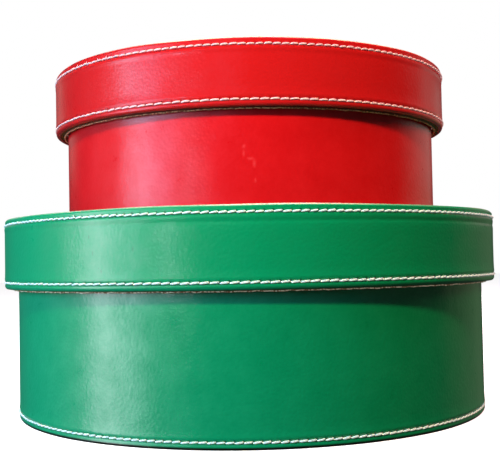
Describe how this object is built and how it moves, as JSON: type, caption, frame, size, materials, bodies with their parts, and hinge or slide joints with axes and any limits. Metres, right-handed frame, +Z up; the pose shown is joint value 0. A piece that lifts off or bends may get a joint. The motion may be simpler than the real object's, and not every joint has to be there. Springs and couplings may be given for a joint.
{
  "type": "collar box",
  "caption": "Round leather collar boxes with lift-off lids and contrast stitching, the small one standing in the dished lid of the large one.",
  "frame": {"origin": "bottom centre of the part's bounding box, under the middle of the large box, on the surface it stands on", "axes": "+Z up through both boxes, which is the part's shortest extent; +Y to the back, where the butt seams are; +X to the right seen from the front"},
  "size_m": [0.2, 0.2, 0.1352],
  "materials": {
    "leather_green": "smooth coated hide, satin",
    "leather_red": "smooth coated hide, satin",
    "board_brown": "pressed fibre board, matt",
    "suede_tan": "suede, matt",
    "thread_cream": "waxed linen thread",
    "thread_white": "waxed linen thread"
  },
  "bodies": {
    "large_base": {"large_base_band": "leather_green", "large_base_panel": "leather_green", "large_base_wall_board": "board_brown", "large_base_floor_board": "board_brown", "large_base_floor_lining": "suede_tan", "large_base_wall_lining": "suede_tan"},
    "large_lid": {"large_lid_band": "leather_green", "large_lid_panel": "leather_green", "large_lid_wall_board": "board_brown", "large_lid_top_board": "board_brown", "large_lid_ceiling_lining": "suede_tan", "large_lid_wall_lining": "suede_tan"},
    "small_base": {"small_base_band": "leather_red", "small_base_panel": "leather_red", "small_base_wall_board": "board_brown", "small_base_floor_board": "board_brown", "small_base_floor_lining": "suede_tan", "small_base_wall_lining": "suede_tan"},
    "small_lid": {"small_lid_band": "leather_red", "small_lid_panel": "leather_red", "small_lid_wall_board": "board_brown", "small_lid_top_board": "board_brown", "small_lid_ceiling_lining": "suede_tan", "small_lid_wall_lining": "suede_tan"}
  },
  "joints": [
    {"name": "large_lid_lift", "type": "slide", "parent": "large_base", "child": "large_lid", "axis": [0, 0, 1], "range_m": [0, 0.08]},
    {"name": "small_box_lift", "type": "slide", "parent": "large_lid", "child": "small_base", "axis": [0, 0, 1], "range_m": [0, 0.06]},
    {"name": "small_lid_lift", "type": "slide", "parent": "small_base", "child": "small_lid", "axis": [0, 0, 1], "range_m": [0, 0.07]}
  ]
}
